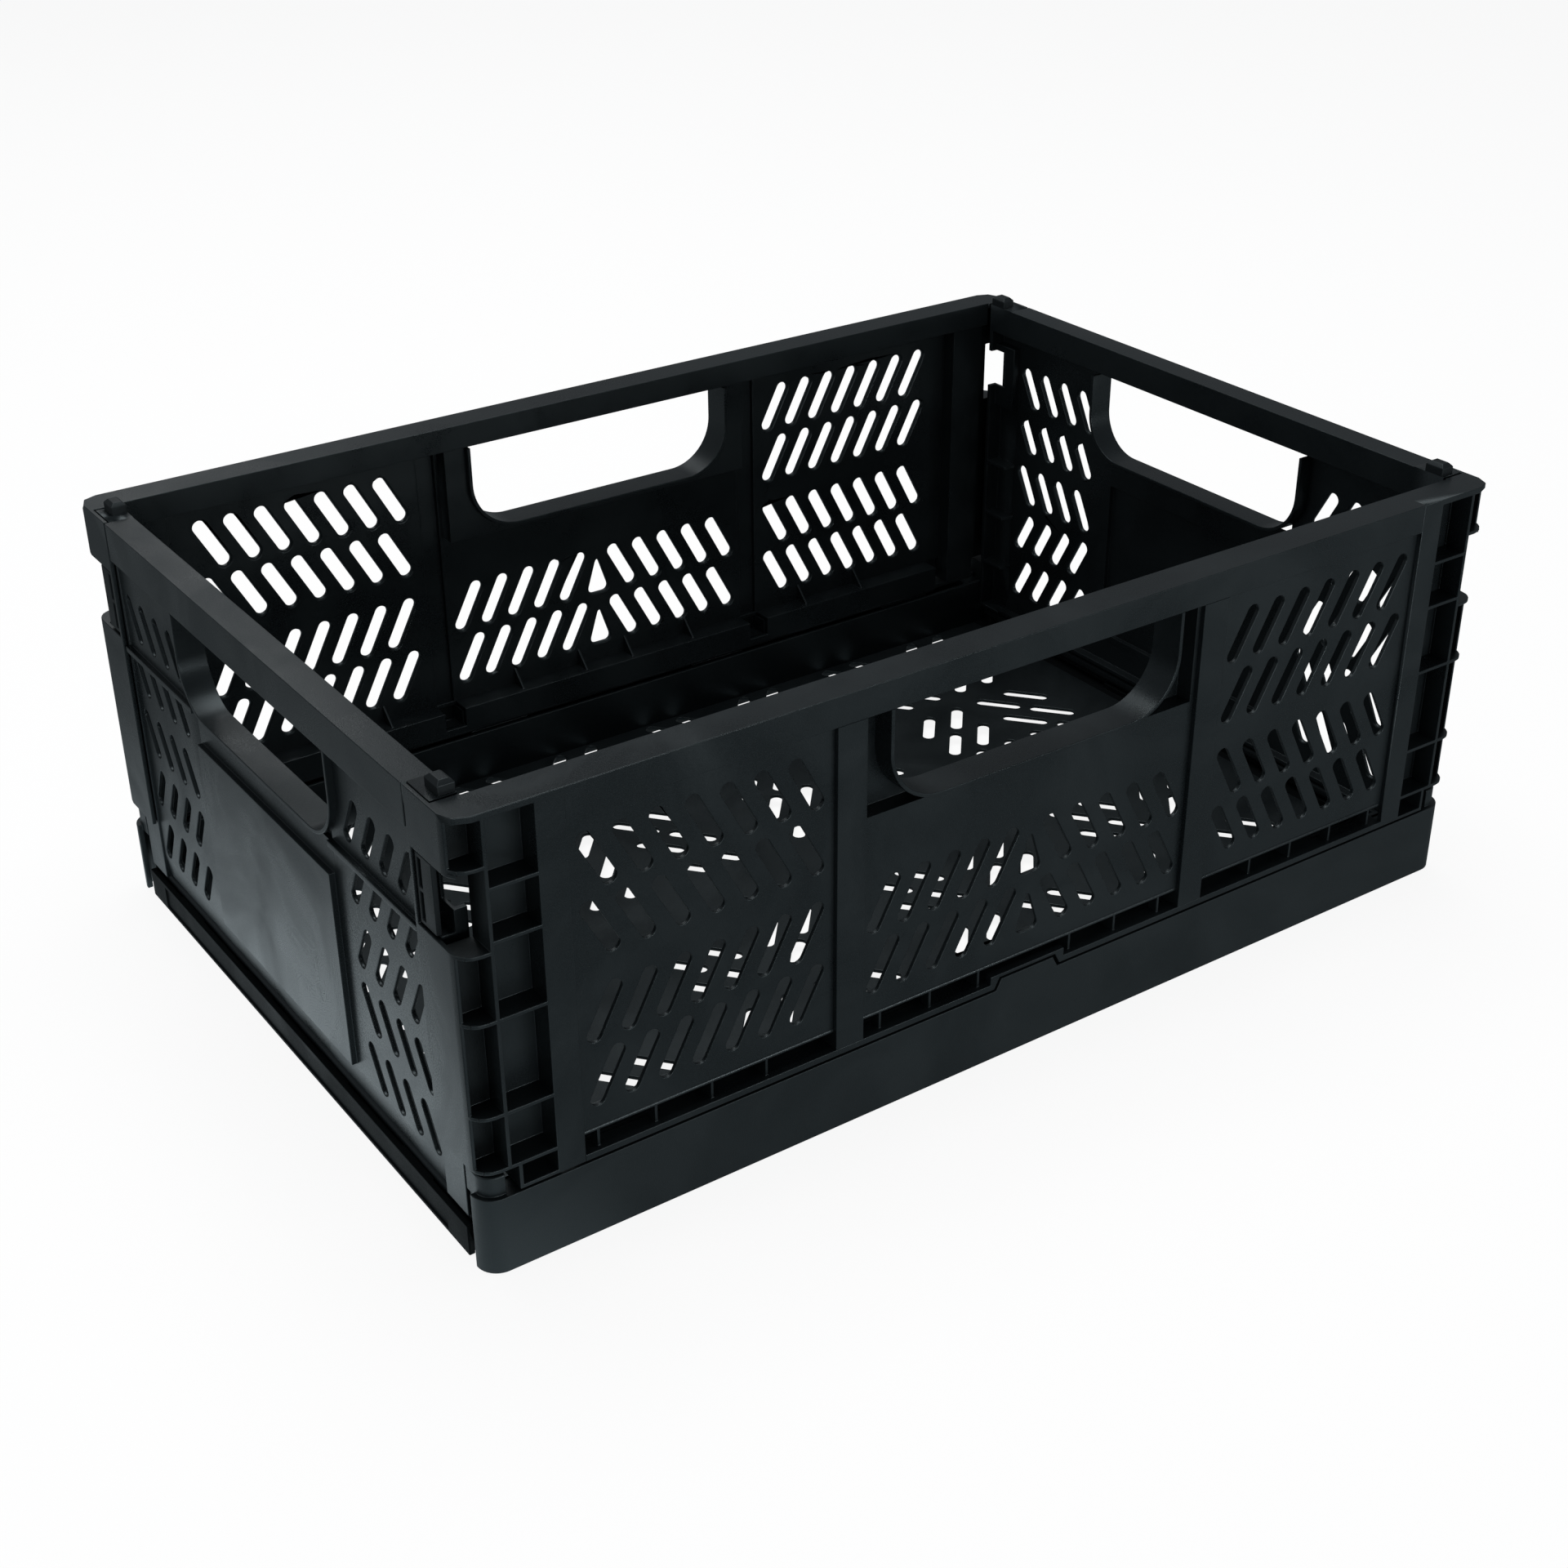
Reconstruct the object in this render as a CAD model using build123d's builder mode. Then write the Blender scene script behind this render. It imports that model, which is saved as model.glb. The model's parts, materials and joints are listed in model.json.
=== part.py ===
from build123d import *
import os
from math import radians, sin, sqrt

os.makedirs("parts", exist_ok=True)

# Collapsible storage crate, stood up.  Millimetres, +Z up, origin on the ground
# under the middle.  X runs along the long walls, the front wall faces -Y.

# Overall sizes
length = 480.0
width = 325.0
height = 182.0
corner_radius = 5.0

# Walls and ribs
shell = 2.2
rib = 1.5
cap_thickness = 2.5
running_gap = 1.0

# Base tray
kerb_height = 32.0
kerb_wall = 2.4
kerb_return = 9.0
kerb_radius = 8.5
floor_level = 6.0
floor_thickness = 3.0
kerb_rib_pitch = 110.0
tab_width = 26.0
tab_height = 4.8
tab_slope = 2.5
boss_inset = 2.0
boss_height = 9.5
boss_length = 8.5
sill_height = 13.0
sill_setback = 0.6
sill_depth = 13.4
sill_groove_depth = 0.8
sill_groove_low = 1.5
sill_lip = 2.0

# Floor slots, set as rows of diamonds
floor_slot_length = 22.5
floor_slot_width = 5.6
floor_slot_tilt = 50.0
floor_diamond_pitch = 107.4
floor_inner_column = 13.5
floor_outer_column = 31.0
floor_row_pitch = 20.75
floor_row_set = 43.5
floor_edge_margin = 31.8

# Long walls
long_rim_depth = 14.5
long_band_height = 12.0
long_skirt_height = 11.0
rim_rib_pitch = 69.0
wall_foot = 33.0
trough_height = 11.5
trough_floor = 2.7
trough_rib_pitch = 23.6
trough_rib = 1.2
ledge_thickness = 2.0
gusset_height = 8.0
gusset_places = (13.0, 48.0, 117.0, 152.0)
post_width = 41.0
post_side = 30.0
post_pocket = 9.8
post_foot = 43.0
post_split = 11.0
shelf_chamfer = 3.0
pilaster_inner = 79.5
pilaster_width = 12.5
pilaster_web = 1.8
flange_thickness = 1.7
flange_depth = 31.0
latch_window_drop = 22.0
latch_window_height = 29.0
latch_window_near = 5.0
latch_window_far = 29.0
low_shelves = (44.5, 67.0, 104.5)
outer_shelf_rise = 3.0
inner_shelf_rise = 3.5
inner_shelf_drop = 5.5

# Vent slots of the long walls
slot_width = 6.0
slot_length = 24.6
slot_tilt = 62.0
slot_pitch = 13.95
slot_low_row = 64.0
slot_row_pitch = 26.4
slot_top_drop = 31.3
side_columns = 7
centre_columns = 5
centre_first_column = 13.5
fan_base = 12.5
fan_height = 19.0

# Hand grips
grip_width = 135.0
collar_wall = 1.6
long_grip_drop = 51.5
long_grip_radius = 22.0
grip_recess = 9.5
end_grip_drop = 54.5
end_grip_radius = 20.0

# End walls
end_depth = 12.0
end_band_height = 16.0
end_skirt_height = 13.5
end_recess = 2.8
end_skin = 2.0
end_foot = 16.5
end_skin_foot = 28.0
end_slope = 1.6
end_slot_width = 5.8
end_slot_length = 21.3
end_short_slot = 17.8
end_slot_column = 100.0
end_slot_pitch = 13.9
end_columns = 4
end_low_row = 38.8
end_row_pitch = 26.0
end_ledge_drop = 2.0
end_ledge_height = 2.5
stile_shelves = (42.0, 70.0, 98.0)
panel_width = 120.0
panel_low = 30.0
panel_top_gap = 12.9
panel_setback = 0.5
panel_shell = 2.0

# Hinges
long_rod_radius = 2.5
long_hinge_depth = 12.0
long_clip_width = 30.0
long_clip_drop = 9.0
long_clip_places = (-180.0, -62.0, 62.0, 180.0)
end_rod_radius = 3.0
end_hinge_depth = 7.0
end_hinge_height = 12.0
end_clip_width = 24.0
end_clip_places = (-105.0, -35.0, 35.0, 105.0)
clip_gap = 0.3
clip_end_gap = 0.5
clip_wall = 1.8

# Latches and stacking nubs
latch_gap = 1.0
latch_slide = 0.3
latch_plate = 1.8
latch_rib = 0.8
latch_spine = 1.6
latch_face = 0.1
latch_ridge = 1.2
latch_ridge_pitch = 2.4
latch_ridge_inset = 1.5
port_width = 8.8
port_rise = 9.0
port_drop = 2.0
nub_length = 9.0
nub_depth = 6.5
nub_height = 4.8
nub_chamfer = 1.5

# Planes and levels that several pieces share
half_length = length / 2
half_width = width / 2
under_cap = height - cap_thickness
long_inner = half_width - long_rim_depth
end_edge = half_width - flange_depth - running_gap
seam_edge = long_inner - 0.7
stile_edge = seam_edge - running_gap
post_edge = half_length - post_width
post_wall = half_length - post_side
trough_top = wall_foot + trough_height
band_foot = height - long_band_height
skirt_foot = height - long_skirt_height
end_band_foot = height - end_band_height
end_skirt_foot = height - end_skirt_height
pilaster_outer = pilaster_inner + pilaster_width
long_grip_floor = height - long_grip_drop
end_grip_floor = height - end_grip_drop
end_collar_foot = end_grip_floor - collar_wall
latch_window_high = height - latch_window_drop
latch_window_low = latch_window_high - latch_window_height
outer_shelves = low_shelves + (latch_window_low, latch_window_high + outer_shelf_rise)
inner_shelves = low_shelves + (latch_window_low + inner_shelf_rise, latch_window_high - inner_shelf_drop)
flange_clear = flange_thickness + clip_gap
flange_tip = corner_radius - sqrt(corner_radius**2 - (corner_radius - flange_thickness) ** 2)
kerb_inner = half_width - seam_edge
tab_z = (latch_window_low + latch_gap, latch_window_high - latch_gap)
hinge_y = half_width - long_hinge_depth
hinge_x = half_length - end_hinge_depth
long_seat = long_rod_radius + clip_gap
end_seat = end_rod_radius + clip_gap


def wall_plane(depth):
    """Upright plane of the front wall, set in from its outer face by depth."""
    return Plane.XZ.offset(half_width - depth)


def end_plane(depth):
    """Upright plane of the left end wall, set in from its outer face by depth."""
    return Plane.YZ.offset(depth - half_length)


def save(builder, name):
    """Label a finished piece and write its STEP file."""
    builder.part.label = name
    export_step(builder.part, f"parts/{name}.step")


def block(x, y, z, mode=Mode.ADD):
    """A box given by its limits along each axis."""
    with BuildSketch(Plane.XY.offset(z[0])) as base:
        with Locations(((x[0] + x[1]) / 2, (y[0] + y[1]) / 2)):
            Rectangle(x[1] - x[0], y[1] - y[0])
    extrude(base.sketch, amount=z[1] - z[0], mode=mode)


def front_block(x, depth, z, mode=Mode.ADD):
    """A box in the front wall, its depth counted from the wall's outer face."""
    block(x, (depth[0] - half_width, depth[1] - half_width), z, mode)


def end_block(depth, y, z, mode=Mode.ADD):
    """A box in the left end wall, its depth counted from the outer face."""
    block((depth[0] - half_length, depth[1] - half_length), y, z, mode)


def turned(builder, name):
    """The same moulding on the opposite side of the crate."""
    with BuildPart() as copy:
        add(builder.part, rotation=(0, 0, 180))
    save(copy, name)


def mirrored(builder, plane, name):
    """The other hand of a piece, mirrored in a middle plane of the crate."""
    with BuildPart() as copy:
        mirror(builder.part, about=plane)
    save(copy, name)
    return copy


# ---------------------------------------------------------------------------
# Base tray

with BuildPart() as floor:
    floor_end = half_length - sill_depth - sill_setback
    block((-floor_end, floor_end), (-seam_edge, seam_edge), (floor_level - floor_thickness, floor_level))
    # Slots in groups of three, leaning one way or the other to make diamonds
    places = {1: [], -1: []}
    for side_x in (-1.5, -0.5, 0.5, 1.5):
        for hand in (-1, 1):
            for column in (floor_inner_column, floor_outer_column):
                x = side_x * floor_diamond_pitch + hand * column
                for side_y in (-1, 1):
                    for turn, row_set in ((-1, floor_row_set), (1, seam_edge - floor_edge_margin)):
                        for row in (-1, 0, 1):
                            y = row_set + row * floor_row_pitch
                            places[turn * hand * side_y].append((x, side_y * y))
    with BuildSketch(Plane.XY.offset(floor_level)):
        for lean in (1, -1):
            with Locations(*places[lean]):
                Rectangle(floor_slot_length, floor_slot_width, rotation=lean * floor_slot_tilt)
    extrude(amount=-floor_thickness, mode=Mode.SUBTRACT)
save(floor, "base_floor")

with BuildPart() as kerb:
    # Outer skin with its shelf, rounded at both ends
    with BuildSketch():
        with Locations((0, kerb_return / 2 - half_width)):
            Rectangle(length, kerb_return)
    extrude(amount=kerb_height)
    corners = kerb.edges().filter_by(Axis.Z).group_by(Axis.Y)[0]
    fillet(corners, kerb_radius)
    with BuildSketch():
        with Locations((0, kerb_return / 2 + kerb_wall - half_width)):
            hollow = Rectangle(length - 2 * kerb_wall, kerb_return)
        fillet(hollow.vertices().group_by(Axis.Y)[0], kerb_radius - kerb_wall)
    extrude(amount=kerb_height - kerb_wall, mode=Mode.SUBTRACT)
    # Inner wall and the ribs that tie it to the outer skin
    inner_top = wall_foot - long_rod_radius - running_gap
    inner_end = half_length - sill_setback - kerb_wall
    front_block((-inner_end, inner_end), (kerb_inner - shell, kerb_inner), (0, inner_top))
    rib_count = int((length - 2 * kerb_radius) / kerb_rib_pitch) + 1
    with BuildSketch(Plane.XY.offset(floor_level)):
        with Locations((0, (kerb_wall + kerb_inner - shell) / 2 - half_width)):
            with GridLocations(kerb_rib_pitch, 1, rib_count, 1):
                Rectangle(rib, kerb_inner - shell - kerb_wall)
    extrude(amount=inner_top - floor_level)
    # Clips: saddles under the hinge rod with a horn behind it
    horn = long_seat + clip_wall
    clip_low = wall_foot - long_clip_drop
    for place in long_clip_places:
        clip_x = (place - long_clip_width / 2, place + long_clip_width / 2)
        front_block(clip_x, (long_hinge_depth - horn, kerb_inner), (clip_low, inner_top))
        horn_z = (inner_top, wall_foot + long_rod_radius)
        front_block(clip_x, (long_hinge_depth - horn, long_hinge_depth), horn_z)
        seat_x = (clip_x[0] - 1, clip_x[1] + 1)
        seat_y = (long_hinge_depth - long_seat, kerb_inner)
        front_block(seat_x, seat_y, (wall_foot - long_seat, wall_foot + horn), Mode.SUBTRACT)
    # Corner bosses that the posts stand over
    for hand in (-1, 1):
        boss_x = hand * (half_length - boss_inset - boss_length / 2)
        boss_deep = kerb_inner - boss_inset
        with BuildSketch(Plane.XY.offset(kerb_height - kerb_wall)):
            with Locations((boss_x, boss_inset + boss_deep / 2 - half_width)):
                pad = Rectangle(boss_length, boss_deep)
            outer = pad.vertices().group_by(Axis.Y)[0].sort_by(Axis.X)[-1 if hand > 0 else 0]
            fillet(outer, kerb_radius - boss_inset)
        extrude(amount=boss_height + kerb_wall)
    # Raised tab in the middle of the kerb
    with BuildSketch(wall_plane(0)):
        with BuildLine():
            Polyline(
                (-tab_width / 2 - tab_slope, kerb_height - 1),
                (-tab_width / 2 - tab_slope, kerb_height),
                (-tab_width / 2, kerb_height + tab_height),
                (tab_width / 2, kerb_height + tab_height),
                (tab_width / 2 + tab_slope, kerb_height),
                (tab_width / 2 + tab_slope, kerb_height - 1),
                close=True,
            )
        make_face()
    extrude(amount=-kerb_wall)
save(kerb, "base_kerb_front")
turned(kerb, "base_kerb_rear")

with BuildPart() as sill:
    # Low end wall of the tray with the seat of the hinge rod behind it
    end_block((sill_setback, sill_setback + kerb_wall), (-seam_edge, seam_edge), (0, sill_height))
    sill_x = (sill_setback + kerb_wall, sill_setback + sill_depth)
    end_block(sill_x, (-seam_edge, seam_edge), (floor_level - floor_thickness, floor_level))
    end_block((sill_x[1] - shell, sill_x[1]), (-seam_edge, seam_edge), (0, floor_level - floor_thickness))
    groove_end = end_edge + running_gap
    groove_z = (sill_groove_low, sill_height - sill_lip)
    end_block((0, sill_setback + sill_groove_depth), (-groove_end, groove_end), groove_z, Mode.SUBTRACT)
    for place in end_clip_places:
        clip_y = (place - end_clip_width / 2, place + end_clip_width / 2)
        saddle_z = (floor_level, end_hinge_height - end_seat)
        end_block((sill_x[0], end_hinge_depth + end_seat), clip_y, saddle_z)
        end_block((sill_x[0], end_hinge_depth - end_seat), clip_y, (floor_level, sill_height))
save(sill, "base_sill_left")
turned(sill, "base_sill_right")

# ---------------------------------------------------------------------------
# Long wall: front one, and the same moulding turned round for the rear

with BuildPart() as rim:
    with BuildSketch(Plane.YZ.offset(-post_edge)):
        with BuildLine():
            Polyline(
                (-half_width, band_foot),
                (-half_width, height),
                (-long_inner, height),
                (-long_inner, skirt_foot),
                (-long_inner - shell, skirt_foot),
                (-long_inner - shell, under_cap),
                (shell - half_width, under_cap),
                (shell - half_width, band_foot),
                close=True,
            )
        make_face()
    extrude(amount=2 * post_edge)
    for step in (-2.5, -1.5, -0.5, 0.5, 1.5, 2.5):
        x = step * rim_rib_pitch
        inside = grip_recess + shell if abs(x) < pilaster_inner else 2 * shell
        front_block((x - rib / 2, x + rib / 2), (inside, long_rim_depth - shell), (skirt_foot, under_cap))
save(rim, "front_rim")
turned(rim, "rear_rim")

with BuildPart() as side_skin:
    skin_x = (-post_wall + pilaster_web, -pilaster_outer)
    front_block(skin_x, (shell, 2 * shell), (trough_top, under_cap))
    middle = -(post_edge + pilaster_outer) / 2
    with BuildSketch(wall_plane(shell)):
        # Two rows that lean one way, and two below the rim that lean the other
        upper_row = height - slot_top_drop - slot_row_pitch
        for low_row, tilt in ((slot_low_row, slot_tilt), (upper_row, -slot_tilt)):
            with Locations((middle, low_row + slot_row_pitch / 2)):
                with GridLocations(slot_pitch, slot_row_pitch, side_columns, 2):
                    Rectangle(slot_length, slot_width, rotation=tilt)
    extrude(amount=-shell, mode=Mode.SUBTRACT)
save(side_skin, "front_skin_left")
turned(side_skin, "rear_skin_right")
other_side_skin = mirrored(side_skin, Plane.YZ, "front_skin_right")
turned(other_side_skin, "rear_skin_left")


def collar_outline(floor_z, radius, top, growth):
    """Outline of a hand grip, grown outwards by the wall of its collar."""
    foot = floor_z - growth
    with BuildSketch(mode=Mode.PRIVATE) as outline:
        with Locations((0, (foot + top) / 2)):
            bar = Rectangle(grip_width + 2 * growth, top - foot)
        fillet(bar.vertices().group_by(Axis.Y)[0], radius + growth)
    return outline.sketch


with BuildPart() as centre_skin:
    step_top = long_grip_floor - collar_wall
    front_block((-pilaster_inner, pilaster_inner), (shell, 2 * shell), (trough_top, step_top))
    # Deeper recess on both sides of the grip, with its floor and cheeks
    back = (grip_recess, grip_recess + shell)
    front_block((-pilaster_inner, pilaster_inner), (2 * shell, back[1]), (step_top - shell, step_top))
    front_block((-pilaster_inner, pilaster_inner), back, (step_top, under_cap))
    for hand in (-1, 1):
        cheek = sorted((hand * pilaster_inner, hand * (pilaster_inner - pilaster_web)))
        front_block(cheek, (shell, grip_recess), (step_top - shell, under_cap))
    with BuildSketch(wall_plane(grip_recess)):
        add(collar_outline(long_grip_floor, long_grip_radius, height, collar_wall))
    extrude(amount=-shell, mode=Mode.SUBTRACT)
    # Slots that lean towards the middle, with a fan-shaped one between them
    with BuildSketch(wall_plane(shell)):
        for row in (0, 1):
            z = slot_low_row + row * slot_row_pitch
            for hand in (-1, 1):
                for column in range(centre_columns):
                    with Locations((hand * (centre_first_column + column * slot_pitch), z)):
                        Rectangle(slot_length, slot_width, rotation=-hand * slot_tilt)
            low = z - (slot_length - slot_width) * sin(radians(slot_tilt)) / 2 - slot_width / 2
            with BuildLine():
                Polyline(
                    (-fan_base / 2, low), (fan_base / 2, low), (0, low + fan_height), close=True
                )
            make_face()
    extrude(amount=-shell, mode=Mode.SUBTRACT)
save(centre_skin, "front_skin_centre")
turned(centre_skin, "rear_skin_centre")

with BuildPart() as collar:
    with BuildSketch(wall_plane(0)):
        add(collar_outline(long_grip_floor, long_grip_radius, band_foot, collar_wall))
        add(collar_outline(long_grip_floor, long_grip_radius, height, 0), mode=Mode.SUBTRACT)
    extrude(amount=-long_rim_depth)
save(collar, "front_grip_collar")
turned(collar, "rear_grip_collar")

with BuildPart() as pilaster:
    strip = (-pilaster_outer, -pilaster_inner)
    front_block(strip, (0, shell), (wall_foot + trough_floor, band_foot))
    for side in (strip[0], strip[1] - pilaster_web):
        front_block((side, side + pilaster_web), (shell, 2 * shell), (trough_top, under_cap))
        # The same web closes the trough on both sides of the strip
        in_trough = (wall_foot + trough_floor, trough_top - ledge_thickness)
        front_block((side, side + pilaster_web), (shell, long_rim_depth - shell), in_trough)
save(pilaster, "front_pilaster_left")
turned(pilaster, "rear_pilaster_right")
other_pilaster = mirrored(pilaster, Plane.YZ, "front_pilaster_right")
turned(other_pilaster, "rear_pilaster_left")

with BuildPart() as foot:
    # Trough: floor, inner wall and the ledge that carries the skins
    foot_x = (-post_edge, post_edge)
    front_block(foot_x, (0, long_hinge_depth), (wall_foot, wall_foot + trough_floor))
    front_block(foot_x, (long_rim_depth - shell, long_rim_depth), (wall_foot, trough_top))
    front_block(foot_x, (shell, long_rim_depth - shell), (trough_top - ledge_thickness, trough_top))
    for hand in (-1, 1):
        gap = sorted((hand * (pilaster_inner + 1), hand * (pilaster_outer - 1)))
        gap_z = (wall_foot + long_rod_radius, trough_top)
        front_block(gap, (2 * shell, long_rim_depth), gap_z, Mode.SUBTRACT)
    # Upright ribs in the trough and gussets on the ledge
    side_ribs = [post_edge - 6 - step * trough_rib_pitch for step in range(4)]
    centre_ribs = [step * trough_rib_pitch for step in (1, 2, 3)]
    for x in side_ribs + centre_ribs:
        for hand in (-1, 1):
            rib_x = sorted((hand * x, hand * (x - trough_rib)))
            front_block(rib_x, (shell, long_rim_depth - shell), (wall_foot, trough_top - 1))
    for x in gusset_places:
        for hand in (-1, 1):
            with BuildSketch(Plane.YZ.offset(hand * x - trough_rib / 2)):
                with BuildLine():
                    Polyline(
                        (2 * shell - half_width, trough_top - 1),
                        (2 * shell - half_width, trough_top + gusset_height),
                        (long_rim_depth - 1 - half_width, trough_top - 1),
                        close=True,
                    )
                make_face()
            extrude(amount=trough_rib)
    # Notch over the kerb's tab, with a lip round it
    notch = tab_height + running_gap + rib - (wall_foot - kerb_height)
    with BuildSketch(wall_plane(0)):
        with Locations((0, wall_foot + notch / 2)):
            Rectangle(tab_width + 2 * tab_slope + 4 * rib, notch)
    extrude(amount=-(kerb_wall + running_gap))
    with BuildSketch(wall_plane(0)):
        with BuildLine():
            Polyline(
                (-tab_width / 2 - tab_slope - running_gap, wall_foot),
                (-tab_width / 2 - running_gap, wall_foot + notch - rib),
                (tab_width / 2 + running_gap, wall_foot + notch - rib),
                (tab_width / 2 + tab_slope + running_gap, wall_foot),
                close=True,
            )
        make_face()
    extrude(amount=-(kerb_wall + running_gap), mode=Mode.SUBTRACT)
    # Hinge rod, bare where the clips of the base hold it
    cleared = long_hinge_depth - long_rod_radius - clip_wall - 2 * clip_gap
    window_z = (wall_foot, trough_top - ledge_thickness)
    for place in long_clip_places:
        window_half = long_clip_width / 2 + clip_end_gap
        window_x = (place - window_half, place + window_half)
        front_block(window_x, (cleared, long_hinge_depth), window_z, Mode.SUBTRACT)
    with BuildSketch(Plane.YZ.offset(-post_edge)):
        with Locations((-hinge_y, wall_foot)):
            Circle(long_rod_radius)
    extrude(amount=2 * post_edge)
save(foot, "front_foot")
turned(foot, "rear_foot")

with BuildPart() as post:
    # Cap with the rounded outer corner
    with BuildSketch(Plane.XY.offset(under_cap)):
        with Locations((-half_length + post_width / 2, long_rim_depth / 2 - half_width)):
            top = Rectangle(post_width, long_rim_depth)
        with Locations((end_depth / 2 - half_length, -long_inner)):
            Rectangle(end_depth, 2 * (long_inner - seam_edge))
        fillet(top.vertices().group_by(Axis.Y)[0].sort_by(Axis.X)[0], corner_radius)
    extrude(amount=cap_thickness)
    # Back plate, side wall, flat strip beside it and the rim's inner skirt
    plate_x = (flange_thickness - half_length, pilaster_web - post_wall)
    front_block(plate_x, (post_pocket, long_rim_depth - shell), (post_foot, under_cap))
    front_block((-post_wall, pilaster_web - post_wall), (0, long_rim_depth - shell), (wall_foot, under_cap))
    front_block((-post_wall, -post_edge), (0, shell), (wall_foot, under_cap))
    skirt_x = (end_depth - half_length, -post_edge)
    front_block(skirt_x, (long_rim_depth - shell, long_rim_depth), (skirt_foot, under_cap))
    # Upright rib between the two columns of pockets
    split_x = (post_split - half_length, post_split + rib - half_length)
    front_block(split_x, (0, post_pocket), (post_foot, under_cap))
    # Shelves across the pockets, let into the back plate
    shelf_depth = post_pocket + rib
    for level in outer_shelves:
        with BuildSketch(Plane.XY.offset(level - rib)):
            with Locations((post_split / 2 - half_length, shelf_depth / 2 - half_width)):
                shelf = Rectangle(post_split, shelf_depth)
            chamfer(shelf.vertices().group_by(Axis.Y)[0].sort_by(Axis.X)[0], shelf_chamfer)
        extrude(amount=rib)
    for level in inner_shelves:
        shelf_x = (split_x[1], -post_wall)
        front_block(shelf_x, (0, shelf_depth), (level - rib, level))
    # Small pocket below the lowest shelf
    box_x = (post_split + 4 - half_length, -post_wall)
    front_block((box_x[0], box_x[0] + rib), (0, post_pocket), (wall_foot, post_foot))
    front_block(box_x, (0, post_pocket), (wall_foot, wall_foot + rib))
    front_block(box_x, (post_pocket, long_rim_depth - shell), (wall_foot, post_foot))
    # Flange that wraps the corner, with the window of the latch
    with BuildSketch(Plane((-half_length, -half_width, post_foot))):
        with BuildLine():
            Polyline(
                (0, corner_radius),
                (flange_thickness, flange_tip),
                (flange_thickness, flange_depth),
                (0, flange_depth),
                close=True,
            )
        make_face()
    extrude(amount=height - post_foot)
    window_y = (latch_window_near - half_width, latch_window_far - half_width)
    window_z = (latch_window_low, latch_window_high)
    block((-half_length, flange_thickness - half_length), window_y, window_z, Mode.SUBTRACT)
    # Opening behind the window, through the back of the outer column
    front_block((flange_thickness - half_length, split_x[0]), (1, long_rim_depth), window_z, Mode.SUBTRACT)
save(post, "front_post_left")
turned(post, "rear_post_right")
other_post = mirrored(post, Plane.YZ, "front_post_right")
turned(other_post, "rear_post_left")

# ---------------------------------------------------------------------------
# End wall: left one, and the same moulding turned round for the right

with BuildPart() as end_rim:
    with BuildSketch(Plane.XZ.offset(end_edge)):
        with BuildLine():
            Polyline(
                (-half_length, end_band_foot),
                (-half_length, height),
                (end_depth - half_length, height),
                (end_depth - half_length, end_skirt_foot),
                (end_depth - shell - half_length, end_skirt_foot),
                (end_depth - shell - half_length, under_cap),
                (end_recess - half_length, under_cap),
                (end_recess - half_length, end_band_foot),
                close=True,
            )
        make_face()
    extrude(amount=-2 * end_edge)
    for step in (-1, 0, 1):
        y = step * rim_rib_pitch
        inside = end_recess + end_skin if abs(y) > grip_width / 2 else end_recess
        end_block((inside, end_depth - shell), (y - rib / 2, y + rib / 2), (end_skirt_foot, under_cap))
save(end_rim, "left_rim")
turned(end_rim, "right_rim")

with BuildPart() as end_side:
    inner_edge = panel_width / 2 + rib
    end_block((end_recess, end_recess + end_skin), (-end_edge, -inner_edge), (end_skin_foot, under_cap))
    # Ledge across the wall at the level of the grip's floor
    ledge_low = end_grip_floor - end_ledge_drop
    ledge_z = (ledge_low, ledge_low + end_ledge_height)
    end_block((panel_setback, end_recess), (-end_edge, -inner_edge), ledge_z)
    with BuildSketch(end_plane(0)):
        add(collar_outline(end_grip_floor, end_grip_radius, height, collar_wall))
    extrude(amount=end_depth, mode=Mode.SUBTRACT)
    with BuildSketch(end_plane(end_recess)):
        for row in range(5):
            tilt = slot_tilt if row < 2 else -slot_tilt
            long_side = end_short_slot if row == 3 else end_slot_length
            with Locations((-end_slot_column, end_low_row + row * end_row_pitch)):
                with GridLocations(end_slot_pitch, 1, end_columns, 1):
                    Rectangle(long_side, end_slot_width, rotation=tilt)
    extrude(amount=end_skin, mode=Mode.SUBTRACT)
save(end_side, "left_skin_front")
turned(end_side, "right_skin_rear")
other_end_side = mirrored(end_side, Plane.XZ, "left_skin_rear")
turned(other_end_side, "right_skin_front")

with BuildPart() as panel:
    # Plain middle of the end wall: a shallow dish that stands proud of the skin
    panel_y = (-inner_edge, inner_edge)
    end_block((end_recess, end_recess + end_skin), panel_y, (end_skin_foot, end_collar_foot))
    dish = panel_width / 2
    panel_high = end_collar_foot - panel_top_gap
    end_block((panel_setback, end_recess), (-dish, dish), (panel_low, panel_high))
    hollow = dish - panel_shell
    hollow_z = (panel_low + panel_shell, panel_high - panel_shell)
    end_block((panel_setback + panel_shell, end_depth), (-hollow, hollow), hollow_z, Mode.SUBTRACT)
save(panel, "left_panel")
turned(panel, "right_panel")

with BuildPart() as end_collar:
    with BuildSketch(end_plane(0)):
        add(collar_outline(end_grip_floor, end_grip_radius, end_band_foot, collar_wall))
        add(collar_outline(end_grip_floor, end_grip_radius, height, 0), mode=Mode.SUBTRACT)
    extrude(amount=end_depth)
save(end_collar, "left_grip_collar")
turned(end_collar, "right_grip_collar")

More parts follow.
